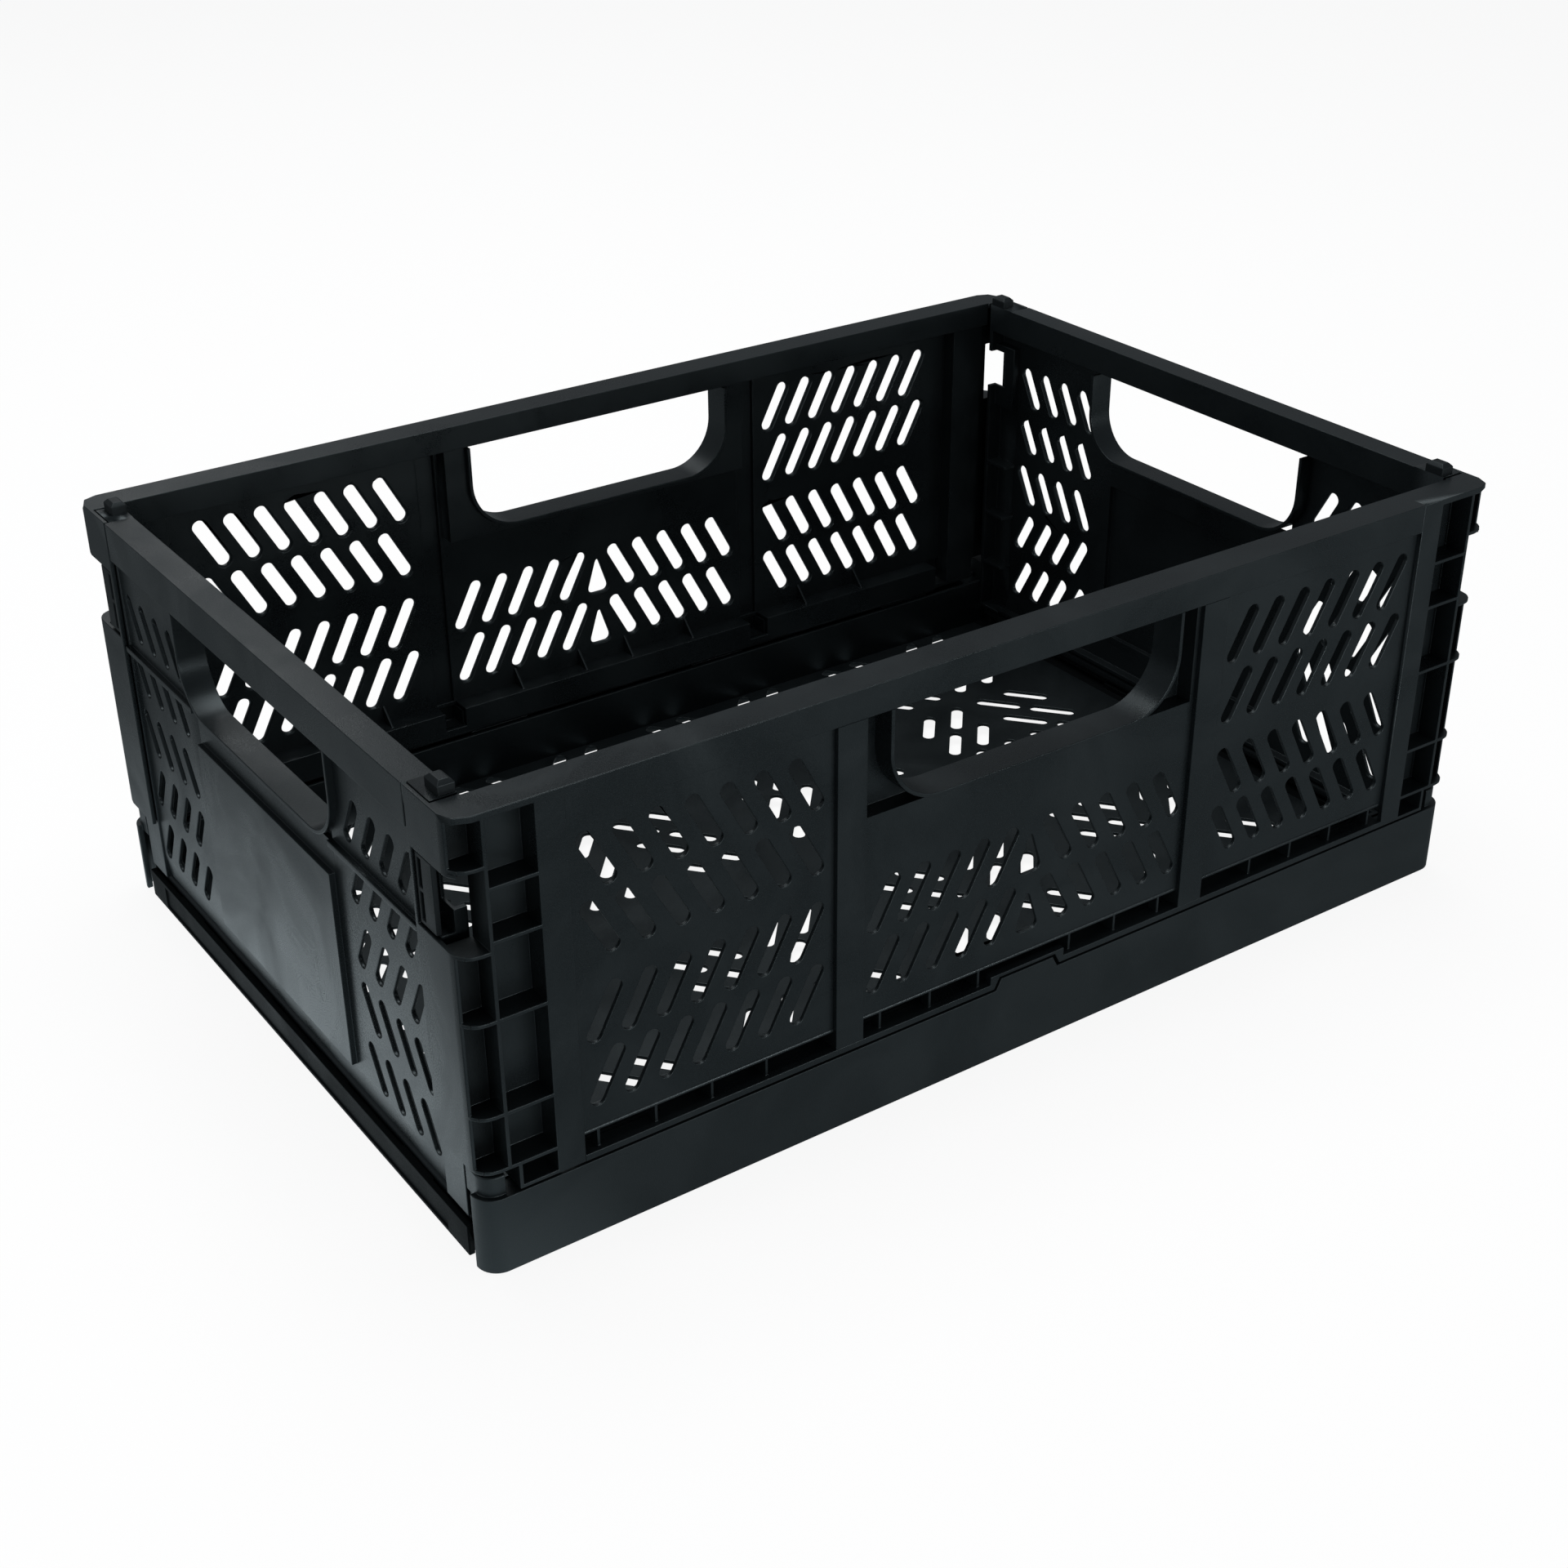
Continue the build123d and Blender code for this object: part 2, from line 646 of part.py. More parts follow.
with BuildPart() as end_foot_bar:
    # Shell that slopes in to the hinge, with the rod on a web below it
    slope_foot = end_recess + end_slope
    with BuildSketch(Plane.XZ.offset(end_edge)):
        with BuildLine():
            Polyline(
                (end_recess - half_length, end_skin_foot),
                (end_recess + end_skin - half_length, end_skin_foot),
                (slope_foot + end_skin - half_length, end_foot + end_skin),
                (end_depth - 1 - half_length, end_foot + end_skin),
                (end_depth - 1 - half_length, end_foot),
                (slope_foot - half_length, end_foot),
                close=True,
            )
        make_face()
    extrude(amount=-2 * end_edge)
    web_x = (end_hinge_depth - rib / 2, end_hinge_depth + rib / 2)
    end_block(web_x, (-end_edge, end_edge), (end_hinge_height, end_foot))
    with BuildSketch(Plane.XZ.offset(stile_edge - shell)):
        with Locations((-hinge_x, end_hinge_height)):
            Circle(end_rod_radius)
    extrude(amount=-2 * (stile_edge - shell))
save(end_foot_bar, "left_foot")
turned(end_foot_bar, "right_foot")

with BuildPart() as stile:
    stile_y = (-stile_edge, -end_edge)
    end_block((flange_clear, flange_clear + shell), stile_y, (end_foot, under_cap))
    end_block((flange_clear, end_depth), (-stile_edge, shell - stile_edge), (end_foot, under_cap))
    end_block((flange_clear, end_depth), stile_y, (under_cap, height))
    end_block((end_depth - shell, end_depth), stile_y, (end_skirt_foot, under_cap))
    for level in (end_foot,) + stile_shelves:
        end_block((flange_clear, end_depth), stile_y, (level, level + rib))
    # Pocket of the latch, open at the outer edge
    pocket_z = (latch_window_low - rib, latch_window_high + rib)
    pocket_deep = end_hinge_depth
    end_block((flange_clear, pocket_deep + rib), stile_y, pocket_z)
    latch_z = (tab_z[0] - latch_slide, tab_z[1] + latch_slide)
    pocket_y = (-stile_edge, latch_window_far - half_width)
    end_block((0, pocket_deep), pocket_y, latch_z, Mode.SUBTRACT)
    # Port through the back of the pocket
    port_z = (latch_window_low + port_rise, latch_window_high - port_drop)
    end_block((pocket_deep, end_depth), (-stile_edge, port_width - stile_edge), port_z, Mode.SUBTRACT)
save(stile, "left_stile_front")
turned(stile, "right_stile_rear")
other_stile = mirrored(stile, Plane.XZ, "left_stile_rear")
turned(other_stile, "right_stile_front")

with BuildPart() as latch:
    # Press tab in the window of the flange, with a spine behind it
    latch_y = (latch_gap / 2 - stile_edge, latch_window_far - half_width - latch_gap)
    end_block((latch_rib, latch_rib + latch_plate), latch_y, tab_z)
    for step in (0, 1, 2):
        ridge = latch_y[1] - latch_ridge_inset - step * latch_ridge_pitch
        end_block((latch_face, latch_rib), (ridge - latch_ridge, ridge), tab_z)
    spine = (latch_rib + latch_plate, latch_rib + latch_plate + latch_spine)
    end_block(spine, (latch_y[1] - latch_spine, latch_y[1]), tab_z)
save(latch, "left_latch_front")
turned(latch, "right_latch_rear")
other_latch = mirrored(latch, Plane.XZ, "left_latch_rear")
turned(other_latch, "right_latch_front")

with BuildPart() as nub:
    # Stacking nub on the end of the end wall's rim
    nub_y = (-stile_edge + 1, -stile_edge + 1 + nub_length)
    end_block((end_depth - nub_depth, end_depth), nub_y, (height, height + nub_height))
    chamfer(nub.faces().sort_by(Axis.Z)[-1].edges(), nub_chamfer)
save(nub, "left_nub_front")
turned(nub, "right_nub_rear")
other_nub = mirrored(nub, Plane.XZ, "left_nub_rear")
turned(other_nub, "right_nub_front")
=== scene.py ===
import bmesh
import bpy
import json
from collections import Counter
from math import copysign, hypot, radians
from mathutils import Euler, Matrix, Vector
from mathutils.bvhtree import BVHTree

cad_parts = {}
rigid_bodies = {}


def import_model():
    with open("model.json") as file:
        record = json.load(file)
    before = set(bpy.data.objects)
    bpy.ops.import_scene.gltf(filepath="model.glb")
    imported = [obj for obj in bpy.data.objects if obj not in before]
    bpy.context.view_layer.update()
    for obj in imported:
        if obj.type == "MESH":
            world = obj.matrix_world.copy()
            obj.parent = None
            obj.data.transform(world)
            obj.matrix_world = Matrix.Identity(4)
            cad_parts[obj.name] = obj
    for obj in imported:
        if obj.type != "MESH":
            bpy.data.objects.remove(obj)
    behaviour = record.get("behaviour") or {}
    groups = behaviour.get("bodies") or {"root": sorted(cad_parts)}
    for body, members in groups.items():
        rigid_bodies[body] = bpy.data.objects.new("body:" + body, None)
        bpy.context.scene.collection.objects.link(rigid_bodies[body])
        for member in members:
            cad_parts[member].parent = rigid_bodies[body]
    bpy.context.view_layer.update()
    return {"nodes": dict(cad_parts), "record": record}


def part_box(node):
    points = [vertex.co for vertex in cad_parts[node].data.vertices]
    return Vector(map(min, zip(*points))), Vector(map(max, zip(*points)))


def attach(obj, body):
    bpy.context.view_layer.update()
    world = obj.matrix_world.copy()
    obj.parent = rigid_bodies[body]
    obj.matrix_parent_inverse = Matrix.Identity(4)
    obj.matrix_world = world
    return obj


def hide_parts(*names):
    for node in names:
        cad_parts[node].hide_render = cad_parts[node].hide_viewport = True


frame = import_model()
scene = bpy.context.scene

# Colours, as linear red, green and blue
CHARCOAL = (0.0072, 0.0096, 0.0108, 1)
CHARCOAL_BASE = (0.0068, 0.0092, 0.0104, 1)
# Sill colour: darker than the walls, painted shade for the shade under the end walls
SILL_PAINTED_SHADE = (0.0036, 0.0044, 0.0048, 1)
NUB_BLACK = (0.0052, 0.0066, 0.0076, 1)
COOL_SHEEN = (0.8, 0.95, 1.0, 1)
STUDIO_PAINT = (0.8, 0.8, 0.8, 1)
# Colour of the floor's glow that only glosses see, a painted reflection
REFLECTION_GLOW_WHITE = (0.84, 0.95, 1.0, 1)
ROOM_WHITE = (0.9, 0.95, 1.0, 1)
BACKDROP_WHITE = (1, 1, 1, 1)

# Polypropylene: how it bends light, and how strongly its grain shows
PLASTIC_IOR = 1.49
GRAIN_STRENGTH = 0.35

# Flow marks: the span of their noise, and what it does to the tone and the roughness
FLOW_MARKS_PER_METRE = 16.0
FLOW_TONE_SPAN, FLOW_TONE = (0.3, 0.7), (0.86, 1.16)
FLOW_HAZE_SPAN, FLOW_HAZE = (0.35, 0.65), (-0.08, 0.08)
GRAIN_SPAN, GRAIN_ROUGHNESS = (0.25, 0.75), (-0.07, 0.07)

# Painted shade in the outer pockets of the corner posts: their back and mouth, where they lie, and how much
# darker the colour is painted there
POCKET_BACK, POCKET_MOUTH = 0.1532, 0.1605
POCKET_LIMITS = (
    ("X", "GREATER_THAN", 0.2262),
    ("X", "LESS_THAN", 0.2384),
    ("Y", "GREATER_THAN", 0.1495),
    ("Z", "LESS_THAN", 0.1796),
)
POCKET_SHADE = 0.85

# Camera: where it stands and what it looks at in metres, its roll in degrees and its lens in millimetres
CAMERA_PLACE = (-0.4980, -0.7155, 0.5295)
CAMERA_TARGET = (-0.0672, -0.0866, 0.0960)
CAMERA_ROLL = -0.53
LENS = 52.22
LENS_SHIFT = (0.0068, 0.0144)
SENSOR_WIDTH = 36

# Studio: half the floor's length, how bright it is seen, and how its glow that only glosses see, a painted
# reflection on the crate, fades from the left end
FLOOR_REACH = 6.0
FLOOR_ROUGHNESS = 0.9
FLOOR_GLOW = 1.12
FLOOR_GLOW_SHARE = 0.8
MIRROR_CENTRE = (0.245, -0.005, 0)
MIRROR_SCALE = (1, 0.25, 1)
MIRROR_SPAN, MIRROR_STRENGTH = (0.02, 0.085), (1.0, 0.17)
ROOM_STRENGTH = 0.16

# Lamps: name, place, target, width, height and power in watts
LAMPS = (
    ("Top_lamp", (0.1, 0.3, 1.9), (0, 0, 0.1), 1.4, 1.4, 18),
    ("Front_lamp", (0.1, -1.9, 0.15), (0, 0, 0.08), 2.2, 0.28, 15),
    ("Left_lamp", (-1.7, 0.1, 0.5), (0, 0, 0.08), 0.9, 0.9, 3),
    ("Back_lamp", (0.15, 1.7, 1.25), (0, 0, 0.15), 0.7, 0.7, 1.7),
)

# Limits for telling directions, angles and places apart
JOIN = 1e-6
PROBE = 0.00005
PARALLEL = 0.999
SQUARE_ON = 0.9
ACROSS = 0.1
FLAT_ANGLE = radians(1)
SLOT_CORNER_ANGLE = radians(50)
SHARP_ANGLE = radians(30)
RIGHT_ANGLE = radians(90)
RIGHT_ANGLE_PLAY = radians(5)
PROBE_RAY = Vector((0.2163, 0.3571, 0.9087)).normalized()
SEAM_SHARES = (0.1, 0.5, 0.9)

# Mouldings: their soft edges, and the round ends and chamfered rims of their slots
SOFT_EDGE = 0.0003
SLOT_ROUNDING = 0.0028
FAN_ROUNDING = 0.0038
ROUNDING_SHARE = 0.49
THICKEST_SHEET = 0.0032
SLOT_DRAFT = 0.0007
LONGEST_SLOT = 0.03
FLOOR_UNDERSIDE = 0.003
FLOOR_THINNING = 0.0014

# Corner posts: the crate's outer corner, the open bays between the shelves, and the shelves' rounding
CORNER_X, CORNER_Y = 0.24, 0.1625
CORNER_SKIN_DEPTH = 0.0018
CORNER_ROUNDING = 0.008
CORNER_BAYS = ((0.0445, 0.0655), (0.067, 0.103), (0.1045, 0.1295), (0.131, 0.16), (0.163, 0.1795))
BAY_EDGE = 0.005
SHELF_ROUNDING = 0.0019
SHELF_CHAMFER = 0.003

# Kerb: its inner wall, and the bosses that the posts stand over
INNER_WALL_REACH = 0.148
BOSS_TOP = 0.0415
BOSS_DROP = 0.0013
BOSS_REACH = 0.009
BOSS_ROUNDING = 0.0008

# Latches: the press tab with its two slits, and the spine behind it
TAB_RECESS = 0.0005
TAB_THICKNESS = 0.002
SPINE_THICKNESS = 0.0016
SLIT_MARGIN = 0.0016
SLIT_WIDTH = 0.0022
SLIT_DEPTH = 0.0013


def clear_startup_objects():
    """Remove the default cube, lamp and camera."""
    for name in ("Cube", "Light", "Camera"):
        leftover = bpy.data.objects.get(name)
        if leftover:
            bpy.data.objects.remove(leftover)


def add_object(name, data):
    """Link new data to the scene as an object at the origin."""
    made = bpy.data.objects.new(name, data)
    scene.collection.objects.link(made)
    return made


# ---------------------------------------------------------------------------
# Materials


def new_group(name, inputs, outputs):
    """A shader node group with named inputs (socket type, name, value) and outputs (type, name)."""
    group = bpy.data.node_groups.new(name, "ShaderNodeTree")
    for kind, label, value in inputs:
        socket = group.interface.new_socket(label, in_out="INPUT", socket_type=kind)
        socket.default_value = value
    for kind, label in outputs:
        group.interface.new_socket(label, in_out="OUTPUT", socket_type=kind)
    start = group.nodes.new("NodeGroupInput")
    end = group.nodes.new("NodeGroupOutput")
    return group, start, end


def computed(nodes, links, operation, first, second):
    """The result of one operation on two values, each of them a number or another node's output."""
    made = nodes.new("ShaderNodeMath")
    made.operation = operation
    for socket, value in zip(made.inputs, (first, second)):
        if isinstance(value, float):
            socket.default_value = value
        else:
            links.new(value, socket)
    return made.outputs["Value"]


def ranged(nodes, links, source, old, new):
    """A value moved from its old span into a new one."""
    made = nodes.new("ShaderNodeMapRange")
    for label, limit in zip(("From Min", "From Max", "To Min", "To Max"), (*old, *new)):
        made.inputs[label].default_value = limit
    links.new(source, made.inputs["Value"])
    return made.outputs["Result"]


def pocket_depth_group():
    """How deep a point lies in the outer pockets of the corner posts, where shade is painted: one at their
    back.
    """
    group, start, end = new_group("Pocket depth", [], [("NodeSocketFloat", "Depth")])
    nodes, links = group.nodes, group.links
    place = nodes.new("ShaderNodeTexCoord")
    mirrored = nodes.new("ShaderNodeVectorMath")
    mirrored.operation = "ABSOLUTE"
    links.new(place.outputs["Object"], mirrored.inputs[0])
    split = nodes.new("ShaderNodeSeparateXYZ")
    links.new(mirrored.outputs["Vector"], split.inputs["Vector"])
    depth = ranged(nodes, links, split.outputs["Y"], (POCKET_BACK, POCKET_MOUTH), (1.0, 0.0))
    for axis, operation, limit in POCKET_LIMITS:
        within = computed(nodes, links, operation, split.outputs[axis], limit)
        depth = computed(nodes, links, "MULTIPLY", depth, within)
    links.new(depth, end.inputs["Depth"])
    return group


POCKET_DEPTH = pocket_depth_group()


def flow_tone_and_painted_shade(nodes, links, start, flow):
    """The plastic's colour with its flow marks, and painted shade that darkens it in the posts' outer
    pockets.
    """
    pocket = nodes.new("ShaderNodeGroup")
    pocket.node_tree = POCKET_DEPTH
    # Painted shade: the colour is darkened towards the back of the posts' outer pockets
    shade = computed(nodes, links, "MULTIPLY", pocket.outputs["Depth"], start.outputs["Pocket shade"])
    lightness = computed(nodes, links, "SUBTRACT", 1.0, shade)
    tone = ranged(nodes, links, flow, FLOW_TONE_SPAN, FLOW_TONE)
    shaded_tone = computed(nodes, links, "MULTIPLY", tone, lightness)
    tint = nodes.new("ShaderNodeVectorMath")
    tint.operation = "SCALE"
    links.new(start.outputs["Colour"], tint.inputs[0])
    links.new(shaded_tone, tint.inputs["Scale"])
    return tint.outputs["Vector"]


def moulded_roughness(nodes, links, start, grain, flow):
    """The plastic's roughness, which varies with its grain and its flow marks."""
    spread = ranged(nodes, links, grain, GRAIN_SPAN, GRAIN_ROUGHNESS)
    haze = ranged(nodes, links, flow, FLOW_HAZE_SPAN, FLOW_HAZE)
    grained = computed(nodes, links, "ADD", start.outputs["Roughness"], spread)
    return computed(nodes, links, "ADD", grained, haze)


def moulded_grain_group():
    """Spark-eroded grain: a fine height field, with the colour and roughness that go with it, and painted
    shade in the posts' outer pockets.
    """
    group, start, end = new_group(
        "Moulded grain",
        [
            ("NodeSocketColor", "Colour", (0.01, 0.01, 0.01, 1)),
            ("NodeSocketFloat", "Grain per metre", 1800.0),
            ("NodeSocketFloat", "Roughness", 0.5),
            ("NodeSocketFloat", "Pocket shade", 0.0),
        ],
        [("NodeSocketColor", "Colour"), ("NodeSocketFloat", "Roughness"), ("NodeSocketFloat", "Height")],
    )
    nodes, links = group.nodes, group.links
    place = nodes.new("ShaderNodeTexCoord")
    grain = nodes.new("ShaderNodeTexNoise")
    grain.inputs["Detail"].default_value = 3.0
    grain.inputs["Roughness"].default_value = 0.6
    links.new(place.outputs["Object"], grain.inputs["Vector"])
    links.new(start.outputs["Grain per metre"], grain.inputs["Scale"])
    flow = nodes.new("ShaderNodeTexNoise")
    flow.inputs["Scale"].default_value = FLOW_MARKS_PER_METRE
    flow.inputs["Detail"].default_value = 5.0
    flow.inputs["Distortion"].default_value = 1.2
    links.new(place.outputs["Object"], flow.inputs["Vector"])

    colour = flow_tone_and_painted_shade(nodes, links, start, flow.outputs["Fac"])
    roughness = moulded_roughness(nodes, links, start, grain.outputs["Fac"], flow.outputs["Fac"])
    links.new(colour, end.inputs["Colour"])
    links.new(roughness, end.inputs["Roughness"])
    links.new(grain.outputs["Fac"], end.inputs["Height"])
    return group


MOULDED_GRAIN = moulded_grain_group()


def plastic(name, colour, roughness, grain_per_metre, grain_depth, specular, pocket_shade=0.0):
    """Matt moulded polypropylene, with painted shade in the posts' outer pockets where a pocket shade is
    given.
    """
    material = bpy.data.materials.new(name)
    material.use_nodes = True
    nodes, links = material.node_tree.nodes, material.node_tree.links
    shader = nodes["Principled BSDF"]
    shader.inputs["IOR"].default_value = PLASTIC_IOR
    shader.inputs["Specular IOR Level"].default_value = specular
    shader.inputs["Specular Tint"].default_value = COOL_SHEEN
    grain = nodes.new("ShaderNodeGroup")
    grain.node_tree = MOULDED_GRAIN
    grain.inputs["Colour"].default_value = colour
    grain.inputs["Grain per metre"].default_value = grain_per_metre
    grain.inputs["Roughness"].default_value = roughness
    grain.inputs["Pocket shade"].default_value = pocket_shade
    links.new(grain.outputs["Colour"], shader.inputs["Base Color"])
    links.new(grain.outputs["Roughness"], shader.inputs["Roughness"])
    bump = nodes.new("ShaderNodeBump")
    bump.inputs["Strength"].default_value = GRAIN_STRENGTH
    bump.inputs["Distance"].default_value = grain_depth
    links.new(grain.outputs["Height"], bump.inputs["Height"])
    links.new(bump.outputs["Normal"], shader.inputs["Normal"])
    return material


# Colour, roughness, grain per metre, grain depth in metres, gloss and painted pocket shade of each plastic
FINISHES = {
    "wall_shell": plastic("Wall plastic", CHARCOAL, 0.34, 1900.0, 0.00012, 0.5, POCKET_SHADE),
    "base_shell": plastic("Base plastic", CHARCOAL_BASE, 0.42, 1700.0, 0.00012, 0.5),
    "stacking_nub": plastic("Nub plastic", NUB_BLACK, 0.5, 1500.0, 0.00008, 0.4),
    "latch": plastic("Latch plastic", NUB_BLACK, 0.44, 1900.0, 0.0001, 0.35),
}
# The sill's plastic: colour darkened and gloss dulled, painted shade for the shade under the end walls
SHADED_SILL_FINISH = plastic("Sill plastic", SILL_PAINTED_SHADE, 0.6, 1500.0, 0.00015, 0.08)
SLOTS = {part["node"]: part["material_slot"] for part in frame["record"]["subparts"]}


# ---------------------------------------------------------------------------
# Mouldings: each one but the latches starts from its own node's mesh


def body_of_node(node):
    """The body that carries a node."""
    return frame["nodes"][node].parent.name.replace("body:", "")


def whole_faces(shape):
    """Join facets that lie in one plane."""
    bmesh.ops.dissolve_limit(
        shape, angle_limit=FLAT_ANGLE, use_dissolve_boundaries=False, verts=shape.verts, edges=shape.edges
    )


def node_shape(node):
    """A copy of the node's mesh, its loose facets joined into whole faces."""
    shape = bmesh.new()
    shape.from_mesh(frame["nodes"][node].data)
    bmesh.ops.remove_doubles(shape, verts=shape.verts, dist=JOIN)
    whole_faces(shape)
    return shape


def bevel(shape, edges, reach, segments, clamped=False, slide=False):
    """Round or chamfer edges by one reach."""
    bmesh.ops.bevel(
        shape, geom=edges, offset=reach, offset_type="OFFSET", segments=segments, profile=0.5,
        affect="EDGES", material=-1, clamp_overlap=clamped, loop_slide=slide,
    )


def along_axis(axis, reach=1.0):
    """A vector along one axis."""
    return Vector([reach * (axis == other) for other in range(3)])


def sheet_axis(node):
    """The axis that a slotted sheet is pierced along, or None for a piece without slots."""
    if node == "base_floor":
        return 2
    if "_skin_" in node:
        return 1 if node.startswith(("front", "rear")) else 0
    return None


def edge_direction(edge):
    """The direction that an edge runs in."""
    return (edge.verts[1].co - edge.verts[0].co).normalized()


def edge_middle(edge):
    """The point halfway along an edge."""
    return (edge.verts[0].co + edge.verts[1].co) / 2


def open_faces(edge, end):
    """Faces of the sheet at one end of an edge that runs through it."""
    outwards = (end.co - edge_middle(edge)).normalized()
    return [face for face in end.link_faces if face.normal.dot(outwards) > PARALLEL]


def slot_corners(shape, axis):
    """Edges that run through the sheet at the corners of its slots."""
    return [
        edge
        for edge in shape.edges
        if len(edge.link_faces) == 2
        and edge.calc_length() < THICKEST_SHEET
        and abs(edge_direction(edge)[axis]) > PARALLEL
        and not edge.is_convex
        and edge.calc_face_angle() > SLOT_CORNER_ANGLE
        and all(open_faces(edge, end) for end in edge.verts)
    ]


def corner_reach(edge):
    """How far a slot's corner is rounded: less where the slot's end is narrow."""
    rims = {rim for wall in edge.link_faces for rim in wall.edges if set(rim.verts) & set(edge.verts)}
    room = min(rim.calc_length() for rim in rims if rim is not edge)
    square = abs(edge.calc_face_angle() - RIGHT_ANGLE) < RIGHT_ANGLE_PLAY
    return round(min(SLOT_ROUNDING if square else FAN_ROUNDING, ROUNDING_SHARE * room), 4)


def close_sheet(shape, axis):
    """Fill both sides of a pierced sheet again, between its outline and its slots."""
    levels = {}
    for edge in shape.edges:
        if edge.is_boundary:
            levels.setdefault(round(edge.verts[0].co[axis], 5), []).append(edge)
    for rims in levels.values():
        bmesh.ops.triangle_fill(
            shape, use_beauty=True, use_dissolve=False, edges=rims, normal=along_axis(axis)
        )
    bmesh.ops.recalc_face_normals(shape, faces=shape.faces)
    whole_faces(shape)


def round_slots(shape, axis):
    """Round the ends of the slots, and softly the corners of the fans between them."""
    corners = slot_corners(shape, axis)
    reaches = {edge: corner_reach(edge) for edge in corners}
    mouths = dict.fromkeys(face for edge in corners for end in edge.verts for face in open_faces(edge, end))
    bmesh.ops.delete(shape, geom=list(mouths), context="FACES")
    for reach in sorted(set(reaches.values())):
        group = [edge for edge in corners if edge.is_valid and reaches[edge] == reach]
        bevel(shape, group, reach, 5)
    close_sheet(shape, axis)


def joined_edges(edges):
    """Sort edges into groups that hang together."""
    left = dict.fromkeys(edges)
    groups = []
    while left:
        group = []
        ends = [left.popitem()[0]]
        while ends:
            edge = ends.pop()
            group.append(edge)
            for vert in edge.verts:
                for other in vert.link_edges:
                    if other in left:
                        del left[other]
                        ends.append(other)
        groups.append(group)
    return groups


def longest_span(edges):
    """The length of the box round some edges."""
    points = [vert.co for edge in edges for vert in edge.verts]
    places = [[point[axis] for point in points] for axis in range(3)]
    return max(max(row) - min(row) for row in places)


def widen_slots(shape, axis):
    """Chamfer the slots on the side of a wall that faces into the crate."""
    levels = Counter(round(abs(vert.co[axis]), 5) for vert in shape.verts)
    inner = min(level for level, count in levels.most_common(2))
    rims = []
    for edge in shape.edges:
        on_inner_side = all(abs(abs(vert.co[axis]) - inner) < PROBE for vert in edge.verts)
        if on_inner_side and any(abs(face.normal[axis]) < ACROSS for face in edge.link_faces):
            rims.append(edge)
    slots = []
    for group in joined_edges(rims):
        if longest_span(group) < LONGEST_SLOT:
            slots.extend(group)
    bevel(shape, slots, SLOT_DRAFT, 1, slide=True)


def thin_floor(shape):
    """Raise the underside of the floor."""
    for vert in shape.verts:
        if abs(vert.co.z - FLOOR_UNDERSIDE) < PROBE:
            vert.co.z += FLOOR_THINNING


def upright_edges(shape, place_x, place_y):
    """Upright edges that stand at one place in plan, measured in from the outer corner."""
    found = []
    for edge in shape.edges:
        middle = edge_middle(edge)
        across = abs(CORNER_X - abs(middle.x) - place_x)
        along = abs(CORNER_Y - abs(middle.y) - place_y)
        if across < PROBE and along < PROBE and abs(edge_direction(edge).z) > PARALLEL:
            found.append(edge)
    return found


def cut_along(shape, axis, place):
    """Add edges where a plane across one axis passes."""
    everything = shape.verts[:] + shape.edges[:] + shape.faces[:]
    bmesh.ops.bisect_plane(
        shape, geom=everything, dist=JOIN, plane_co=along_axis(axis, place), plane_no=along_axis(axis)
    )


def corner_strip(shape, low, high):
    """Faces of the flange round the outer corner between two shelves."""
    strip = []
    for face in shape.faces:
        middle = face.calc_center_median()
        at_end = abs(middle.x) > CORNER_X - CORNER_SKIN_DEPTH
        at_corner = abs(middle.y) > CORNER_Y - BAY_EDGE - PROBE
        if at_end and at_corner and low < middle.z < high and abs(face.normal.z) < ACROSS:
            strip.append(face)
    return strip


def open_corner_bay(shape, low, high):
    """Take the flange away at the corner between two shelves, so that the pocket is open there."""
    bmesh.ops.delete(shape, geom=corner_strip(shape, low, high), context="FACES")
    rims = [edge for edge in shape.edges if edge.is_boundary]
    ends = dict.fromkeys(vert for edge in rims for vert in edge.verts)
    for level in (low, high):
        pair = []
        for vert in ends:
            if abs(vert.co.z - level) < PROBE and abs(abs(vert.co.y) - CORNER_Y + BAY_EDGE) < PROBE:
                pair.append(vert)
        if len(pair) == 2 and not any(pair[1] in edge.verts for edge in pair[0].link_edges):
            rims += bmesh.ops.contextual_create(shape, geom=pair)["edges"]
    bmesh.ops.edgenet_fill(shape, edges=rims)


def open_corner(shape):
    """Open every pocket and the latch window round the corner."""
    end = max(shape.verts, key=lambda vert: abs(vert.co.y)).co.y
    cut_along(shape, 1, copysign(CORNER_Y - BAY_EDGE, end))
    for low, high in CORNER_BAYS:
        cut_along(shape, 2, low)
        cut_along(shape, 2, high)
    for low, high in CORNER_BAYS:
        open_corner_bay(shape, low, high)
    bmesh.ops.recalc_face_normals(shape, faces=shape.faces)
    whole_faces(shape)


def round_corner(shape):
    """Draw everything at the outer corner back to one upright rounding."""
    outmost = max(shape.verts, key=lambda vert: abs(vert.co.x)).co
    side = copysign(CORNER_X - CORNER_ROUNDING, outmost.x)
    end = copysign(CORNER_Y - CORNER_ROUNDING, outmost.y)
    cut_along(shape, 0, side)
    cut_along(shape, 1, end)
    for vert in shape.verts:
        along = CORNER_ROUNDING - (CORNER_X - abs(vert.co.x))
        across = CORNER_ROUNDING - (CORNER_Y - abs(vert.co.y))
        if along > 0 and across > 0:
            reach = hypot(along, across)
            if reach > CORNER_ROUNDING:
                spare = 1 - CORNER_ROUNDING / reach
                vert.co.x -= copysign(along * spare, vert.co.x)
                vert.co.y -= copysign(across * spare, vert.co.y)


